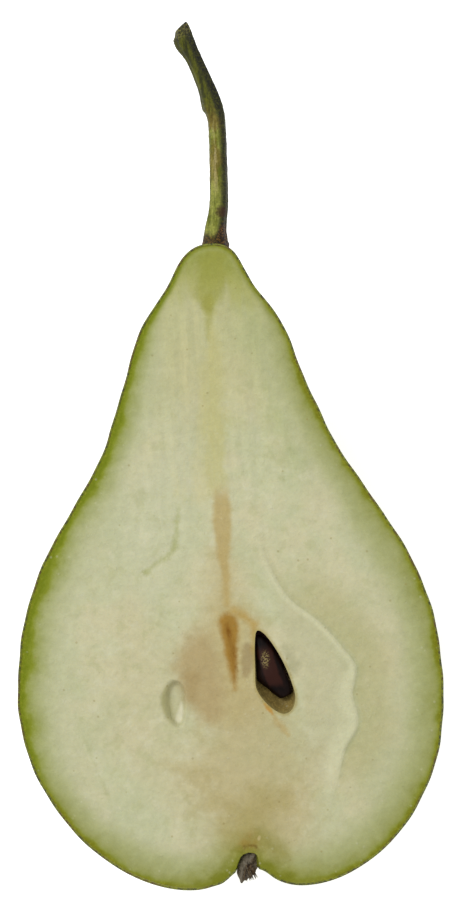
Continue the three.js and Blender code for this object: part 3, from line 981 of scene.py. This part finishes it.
stem = {
    # centre line of (x, y, radius) in mm; the depth below the cut face grows towards the tip
    "line": [(0.8, 96.6, 1.2), (0.76, 97.3, 1.85), (0.7, 98.3, 2.1), (0.72, 99.2, 1.9),
             (0.85, 100.8, 1.66), (1.15, 102.4, 1.5), (1.55, 105.2, 1.42), (1.75, 111.0, 1.36),
             (1.83, 115.6, 1.34), (1.75, 117.8, 1.36), (1.35, 119.8, 1.44), (0.8, 121.8, 1.3),
             (0.05, 123.9, 1.22), (-0.85, 126.3, 1.16), (-1.85, 128.6, 1.26), (-2.4, 130.0, 1.36),
             (-2.85, 131.6, 1.2), (-3.0, 132.2, 0.9)],
    "sink": 1.6, "droop": 1.2,
    "tuck": 0.75, "tuckSpan": (98.6, 100.0),  # the base goes under the crown
    "sides": 48, "step": 0.16,
    "ridges": 7, "ridgeDepth": 0.07,
    "bract": 0.22, "bractSpan": (118.9, 119.5, 120.0, 123.5),  # the step on the left where it thickens
    "knob": 0.3, "knobSpan": (127.4, 129.6, 130.6, 132.0),
    "crease": 0.16, "creaseTurn": 1.25, "creaseSpan": (122.5, 124.0, 129.0, 130.5),
    "endSlant": 0.5, "endRun": 2.2, "endHollow": 0.25,
    "bark": [(0.05, 0.8, 7.0), (0.03, 0.33, 5.0)],  # unevenness: amount, lump size, spacing
    "budScar": (1.9, 103.3),
    "tones": {
        "greenLight": (157, 160, 76), "greenDeep": (104, 110, 32),
        "upperLight": (98, 100, 26), "upperDeep": (58, 60, 10),
        # the pale tint is a painted highlight; the dark and light bark tints are painted shade for the side
        # turned right
        "brown": (124, 98, 44), "pale": (176, 160, 116), "leftEdge": (70, 70, 18),
        "barkDark": (24, 25, 5), "barkLight": (66, 66, 18), "budScar": (70, 44, 24),
        "collarDark": (46, 30, 12), "collarLight": (124, 88, 44), "tipDark": (44, 44, 18),
        "tipLight": (120, 114, 64),
    },
}


def buildStem(material):
    s = stem
    line = evenly(throughPoints(s["line"], 12), s["step"])
    centre, radius = line[:, :2], line[:, 2]
    low, high = centre[0, 1], centre[-1, 1]
    rise = (centre[:, 1] - low) / (high - low)
    tuckLow, tuckHigh = s["tuckSpan"]
    depth = cutZ - s["sink"] - s["droop"] * rise ** 2 - s["tuck"] * ease(tuckHigh, tuckLow, centre[:, 1])
    tangent = np.gradient(centre, axis=0)
    tangent /= np.linalg.norm(tangent, axis=1)[:, None]
    across = np.stack([tangent[:, 1], -tangent[:, 0]], axis=1)
    turn = np.linspace(0, 2 * math.pi, s["sides"], endpoint=False)
    left = np.clip(-np.cos(turn), 0, 1) ** 2
    rings = []
    for i, y in enumerate(centre[:, 1]):
        ridge = np.cos(s["ridges"] * turn + 0.09 * (y - low)) + 0.6 * np.cos(3 * turn - 0.13 * y + 1)
        swell = 1 + s["ridgeDepth"] * ridge * (0.5 + 0.8 * ease(116, 120, y))
        bract = s["bract"] * left * between(y, *s["bractSpan"])
        knob = s["knob"] * left * between(y, *s["knobSpan"])
        crease = s["crease"] * np.exp(-((turn - s["creaseTurn"]) / 0.2) ** 2) * between(y, *s["creaseSpan"])
        r = radius[i] * swell + bract + knob - crease
        side = r * np.cos(turn)
        slide = s["endSlant"] * side * ease(high - s["endRun"], high, y)
        flat = centre[i] + side[:, None] * across[i] + slide[:, None] * tangent[i]
        rings.append(np.c_[flat, depth[i] + r * np.sin(turn)])

    # the slanted end is a shallow dish
    inward = np.array([*tangent[-1], 0])
    middle = rings[-1].mean(0) - inward * s["endHollow"]
    inner = rings[-1] + (middle - rings[-1]) * 0.35 - inward * s["endHollow"] * 0.48
    points = np.concatenate(rings + [inner, [rings[0].mean(0), middle]])
    for amount, size, spacing in s["bark"]:
        points = waver(points, amount, size, spacing)
    obj = toObject("pearStem", points, ringFaces(len(rings) + 1, s["sides"]), [material])
    faceOutward(obj)
    store(obj, "stemTurn", np.concatenate([np.tile(turn, len(rings) + 1), [0, 0]]))
    print("stem:", len(obj.data.polygons), "faces")
    return obj


def stemLook():
    look = Look("stemBark", stem["tones"])
    y, mix, step = look.y, look.mix, look.step
    turn = look.attribute("stemTurn")
    streak = look.noise(0.7, 4, 0.65, stretch=(1, 5, 1))
    patch = look.noise(2.2, 3, 0.6, stretch=(1, 2, 1), shift=3)
    fine = look.noise(0.32, 4, 0.7, shift=8)
    upper = step(y + (patch - 0.5) * 5, 115, 121)
    light = mix(upper, "greenLight", "upperLight")
    deep = mix(upper, "greenDeep", "upperDeep")
    tint = mix(step(streak, 0.36, 0.62), deep, light)
    brown = step(patch, 0.46, 0.58) * look.between(y, 106, 110, 117, 121)
    tint = mix(brown * 0.55, tint, "brown")
    facing = look.add("ShaderNodeMath", {"operation": "COSINE"}, {0: turn})
    # a painted highlight: a pale strip on the side turned up and to the left, towards the light
    pale = look.between(facing, -0.75, -0.35, -0.25, 0.1) * step(streak, 0.46, 0.58)
    tint = mix(pale * look.between(y, 104, 110, 114, 119) * 0.6, tint, "pale")

    # painted shade: the side turned right is darkened, the more near the tip, and broken up by fine speckle
    right = step(facing + (streak - 0.5) * 0.7 + upper * 0.2, 0.0, 0.62)
    tint = mix(right * 0.9, tint, mix(step(fine, 0.46, 0.62), "barkDark", "barkLight"))
    tint = mix(step(facing, -0.7, -0.98) * 0.5, tint, "leftEdge")
    bud = 1 - step(look.away(*stem["budScar"]) + (fine - 0.5) * 0.8, 0.5, 1.2)
    tint = mix(bud * 0.75, tint, "budScar")
    collar = 1 - step(y + (patch - 0.5) * 2.4 - right * 1.6, 99.3, 100.6)
    tint = mix(collar * 0.9, tint, mix(step(fine, 0.46, 0.64), "collarDark", "collarLight"))
    tip = step(y - look.x * 0.6 + (patch - 0.5), 131.6, 132.6)
    tint = mix(tip * 0.7, tint, mix(step(fine, 0.42, 0.6), "tipDark", "tipLight"))
    tint = look.shade(tint, 0.7 + step(fine, 0.3, 0.7) * 0.5)
    return look.finish(
        Base_Color=tint, Roughness=0.42 + fine * 0.3,
        Normal=look.bump(streak + fine * 0.6, 0.00032, 0.9), Specular_IOR_Level=0.22)


seed = {
    # outline of (height, left, right) about the seed's axis, from the blunt end up, in mm
    "outline": [(-5.3, 0.0, 0.0), (-5.2, 0.95, 1.0), (-4.6, 1.35, 1.75), (-3.2, 1.95, 2.1),
                (-1.8, 2.6, 2.15), (-0.8, 2.85, 2.1), (0.2, 2.55, 2.05), (1.6, 1.86, 1.9),
                (3.4, 1.0, 1.5), (4.6, 0.45, 0.9), (5.35, 0.0, 0.0)],
    "thickness": 2.7, "fullWidth": 4.6, "facet": 0.05,
    "tilt": 24.7, "place": (6.3, 33.62),
    "sides": 48, "rows": 56,
    "coat": (0.0025, 0.0008, 0.0005, 1), "coatStreak": (0.008, 0.0025, 0.0014, 1),
    "facetTint": (0.032, 0.009, 0.0055, 1), "husk": (0.28, 0.22, 0.08, 1), "margin": (0.2, 0.15, 0.06, 1),
}


def buildSeed(material):
    s = seed
    low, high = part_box("seed")
    depth = (low.z + high.z) / 2 / mm
    line = throughPoints(s["outline"], 12)
    line = line[np.linspace(0, len(line) - 1, s["rows"]).astype(int)]
    line[:, 1:] = np.maximum(line[:, 1:], 0)
    turn = np.linspace(0, 2 * math.pi, s["sides"], endpoint=False)
    facet = 1 + s["facet"] * np.cos(3 * turn - 1.0)
    points = []
    for u, left, right in line[1:-1]:
        v = np.where(np.cos(turn) < 0, left, right) * np.cos(turn)
        w = s["thickness"] / 2 * ((left + right) / s["fullWidth"]) ** 0.8 * facet * np.sin(turn)
        points.append(np.stack([v, np.full(len(turn), u), w], axis=1))
    points = np.concatenate(points + [[(0, line[0, 0], 0)], [(0, line[-1, 0], 0)]])
    points = waver(points, 0.035, 1.1, 3.0)
    lean, rise = math.sin(math.radians(s["tilt"])), math.cos(math.radians(s["tilt"]))
    x = points[:, 0] * rise - points[:, 1] * lean + s["place"][0]
    y = points[:, 0] * lean + points[:, 1] * rise + s["place"][1]
    placed = np.stack([x, y, points[:, 2] + depth], axis=1)
    obj = toObject("pearSeed", placed, ringFaces(s["rows"] - 2, s["sides"]), [material])
    faceOutward(obj)
    return obj


def seedLook():
    s = seed
    look = Look("seedCoat")
    step = look.step
    streak = look.noise(0.5, 3, 0.55, stretch=(1, 5, 1))
    patch = look.noise(2.4, 3, 0.6, shift=4)
    fine = look.noise(0.22, 3, 0.6, shift=9)
    tint = look.mix(step(streak, 0.35, 0.7), s["coat"], s["coatStreak"])
    across = look.x + (look.y - 33.5) * 0.3 + (patch - 0.5) * 1.2
    facet = look.between(across, 4.6, 5.2, 6.9, 7.4)
    facet = facet * step(look.y + patch, 30.6, 31.6) * step(look.y, 37.0, 35.6)
    tint = look.mix(facet * 0.85, tint, s["facetTint"])
    husk = 1 - step(look.away(5.5, 34.7, wide=1.6, tall=0.4), 0.4, 1.1)
    tint = look.mix(step(fine, 0.49, 0.55) * husk * 0.75, tint, s["husk"])
    tint = look.mix(step(fine, 0.54, 0.58) * step(across, 8.1, 8.5) * 0.5, tint, s["margin"])
    return look.finish(
        Base_Color=tint, Roughness=0.34 + streak * 0.2, Normal=look.bump(streak, 0.00006, 0.5),
        Specular_IOR_Level=0.1)


calyx = {
    # each sepal's piece, how far it leans and how far it drops past its solid, in mm
    "sepals": {"sepal_right": ("calyxRight", 0.6, -0.5), "sepal_back": ("calyxBack", 0.3, 0.0),
               "sepal_left": ("calyxLeft", -0.3, 0.1)},
    "sepalWidth": 2.35, "sepalThickness": 0.3, "sepalRows": 30, "sepalColumns": 16,
    "gather": 0.3,  # how far the outer sepals close in on the one between them
    "curl": 0.5, "shift": 0.42, "crumple": 0.2, "crumpleSize": 0.6,
    "stamens": 26, "stamenLength": 2.3, "stamenRadius": 0.13, "stamenTip": 0.03, "stamenSpread": 0.75,
    "seed": 7,
    "tones": {
        "leafDark": (94, 86, 71), "leafPale": (130, 121, 104), "stamenDark": (58, 46, 32),
        "stamenPale": (120, 104, 78), "brown": (104, 80, 48), "dust": (160, 158, 146),
        "shadow": (40, 34, 26),
    },
}


def middleOf(node):
    low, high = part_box(node)
    return (low + high) / 2 / mm


def buildSepal(node, material):
    # a dry, crumpled blade, rolled round the stamens and blunt at its open end
    c = calyx
    name, lean, drop = c["sepals"][node]
    low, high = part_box(node)
    top, tip = high.y / mm - lobeY + 0.4, low.y / mm - lobeY - drop
    x = middleOf(node).x * (1 - c["gather"]) + middleOf("sepal_back").x * c["gather"]
    z = middleOf(node).z
    rows, columns = c["sepalRows"], c["sepalColumns"]
    points = []
    for t in np.linspace(0, 1, rows):
        half = c["sepalWidth"] / 2 * (1 - t ** 3) ** 0.5 * (0.7 + 0.4 * math.sin(math.pi * t))
        for u in np.linspace(-1, 1, columns):
            side = x + u * half * 0.8 + c["shift"] * (1.3 - 1.9 * t) - lean * c["curl"] * t
            fold = 0.4 * math.cos(u * 1.8 + lean) + 0.28 * math.sin(5 * t + 2 * u + 3 * lean)
            points.append((side, top - (top - tip) * t + 0.12 * math.sin(7 * u), z + fold - 0.45))
    points = np.array(points)
    points += c["crumple"] * np.stack([cloud(points, c["crumpleSize"], k * 3.0 + lean) for k in range(3)],
                                      axis=1)
    faces = [(i * columns + j, i * columns + j + 1, (i + 1) * columns + j + 1, (i + 1) * columns + j)
             for i in range(rows - 1) for j in range(columns - 1)]
    obj = toObject(name, points, faces, [material])
    wall = obj.modifiers.new("wall", "SOLIDIFY")
    wall.thickness = c["sepalThickness"] * mm
    wall.offset = 0
    soften = obj.modifiers.new("soften", "SUBSURF")
    soften.levels = soften.render_levels = 1
    settle(obj)
    faceOutward(obj)
    return obj


def stamenTree():
    growth = Growth("stamens", {
        "Count": "Int", "Length": "Float", "Radius": "Float", "Tip": "Float", "Spread": "Float",
        "Seed": "Int"})
    given = growth.given
    place = growth.add("ShaderNodeVectorMath", {"operation": "SCALE"}, {
        0: growth.randomVector((-1, -0.3, -0.8), (1, 0.3, 0.8)), "Scale": given["Spread"]})
    roots = growth.add("GeometryNodePoints", {}, {"Count": given["Count"], "Position": place["Vector"]})
    hair = growth.add("GeometryNodeMeshCone", {}, {
        "Vertices": 6, "Side Segments": 4, "Radius Top": given["Tip"],
        "Radius Bottom": given["Radius"], "Depth": given["Length"]})
    tilt = growth.add("FunctionNodeEulerToRotation", {}, {
        "Euler": growth.randomVector((1.2, -0.5, -0.5), (1.95, 0.5, 0.5))})
    return growth.finish(growth.add("GeometryNodeInstanceOnPoints", {}, {
        "Points": roots["Points"], "Instance": hair["Mesh"], "Rotation": tilt["Rotation"]}))


def buildStamens(material):
    c = calyx
    blank = toObject("stamenStart", [(0, 0, 0)], [], [material])
    obj = grow("stamens", blank, stamenTree(), {
        "Count": c["stamens"], "Length": c["stamenLength"] * mm, "Radius": c["stamenRadius"] * mm,
        "Tip": c["stamenTip"] * mm, "Spread": c["stamenSpread"] * mm, "Seed": c["seed"],
        "Material": material})
    bpy.data.objects.remove(blank)
    obj.data.transform(Matrix.Translation(middleOf("stamen_tuft") * mm))
    return obj


def calyxLook(name, dark, pale, shift):
    look = Look(name, calyx["tones"])
    streak = look.noise(0.5, 4, 0.65, stretch=(1, 2.5, 1), shift=shift)
    fine = look.noise(0.2, 3, 0.6, shift=shift + 4)
    tint = look.mix(look.step(streak, 0.38, 0.66), dark, pale)
    brown = look.step(look.noise(1.4, 2, shift=shift + 7), 0.5, 0.62)
    tint = look.mix(brown * 0.35, tint, "brown")
    tint = look.mix(look.step(fine, 0.6, 0.66) * 0.5, tint, "dust")
    tint = look.mix(look.step(fine, 0.4, 0.34) * 0.45, tint, "shadow")
    return look.finish(
        Base_Color=tint, Roughness=0.6 + fine * 0.25, Normal=look.bump(streak + fine * 0.5, 0.00025, 0.8),
        Specular_IOR_Level=0.3)


pearFlesh = buildFlesh(fleshLook())
pearSkin = buildSkin(skinLook(), cutEdgeLook())
lenticels = grow("lenticels", pearSkin, lenticelTree(), {
    "Density": skin["lenticelsPerCm2"] * 1e4, "Size": skin["lenticelSize"] * mm,
    "Seed": skin["seed"], "Material": lenticelLook()})
thickenSkin(pearSkin)
print("skin:", len(pearSkin.data.polygons), "faces,", len(lenticels.data.polygons), "in its lenticels")

pearStem = buildStem(stemLook())
pearSeed = buildSeed(seedLook())
dryLeaf = calyxLook("dryCalyx", "leafDark", "leafPale", 1)
sepals = {node: buildSepal(node, dryLeaf) for node in calyx["sepals"]}
stamens = buildStamens(calyxLook("dryStamen", "stamenDark", "stamenPale", 5))
print("stem, seed and calyx made")

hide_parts("pear_half")
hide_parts("pear_half")
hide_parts("stem")
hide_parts("seed")
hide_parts("stamen_tuft")
for node, piece in sepals.items():
    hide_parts(node)
for piece in (pearFlesh, pearSkin, lenticels, pearStem, pearSeed, stamens, *sepals.values()):
    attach(piece, "root")


studio = {
    "floorSize": 3.0, "floorGlow": 0.52, "floorDark": (0.86, 0.86, 0.86, 1),
    "floorLight": (0.9, 0.9, 0.9, 1),
    "sky": 0.78, "keyPower": 4.2, "keySize": 0.5, "keyPlace": (-0.42, 0.36, 0.75),
    "cameraHeight": 0.4634, "cameraTurn": -2.6, "cameraX": 0.00167, "cameraY": -0.00005, "lens": 120.0,
}


def floorLook():
    look = Look("floor")
    tint = look.mix(look.noise(30, 2), studio["floorDark"], studio["floorLight"])
    return look.finish(Base_Color=tint, Roughness=0.7, Specular_IOR_Level=0.1,
                       Emission_Color=(1, 1, 1, 1), Emission_Strength=studio["floorGlow"])


def buildStudio():
    s = studio
    half = s["floorSize"] / 2
    mesh = bpy.data.meshes.new("floor")
    mesh.from_pydata([(-half, -half, 0), (half, -half, 0), (half, half, 0), (-half, half, 0)],
                     [], [(0, 1, 2, 3)])
    mesh.materials.append(floorLook())
    floor = bpy.data.objects.new("floor", mesh)
    bpy.context.scene.collection.objects.link(floor)
    world = bpy.data.worlds.new("studio")
    world.use_nodes = True
    background = world.node_tree.nodes["Background"]
    background.inputs["Color"].default_value = (1, 1, 1, 1)
    background.inputs["Strength"].default_value = s["sky"]
    bpy.context.scene.world = world
    light = bpy.data.lights.new("key", "AREA")
    light.size = s["keySize"]
    light.energy = s["keyPower"]
    key = bpy.data.objects.new("key", light)
    key.location = s["keyPlace"]
    key.rotation_euler = (-Vector(s["keyPlace"])).to_track_quat("-Z", "Y").to_euler()
    bpy.context.scene.collection.objects.link(key)
    view = bpy.data.cameras.new("camera")
    view.lens = s["lens"]
    view.sensor_width = 36
    camera = bpy.data.objects.new("camera", view)
    camera.location = (s["cameraX"], s["cameraY"], cutZ * mm + s["cameraHeight"])
    camera.rotation_euler = (0, 0, math.radians(s["cameraTurn"]))
    bpy.context.scene.collection.objects.link(camera)
    bpy.context.scene.camera = camera
    bpy.context.scene.view_settings.view_transform = "Standard"


buildStudio()
print("studio ready")
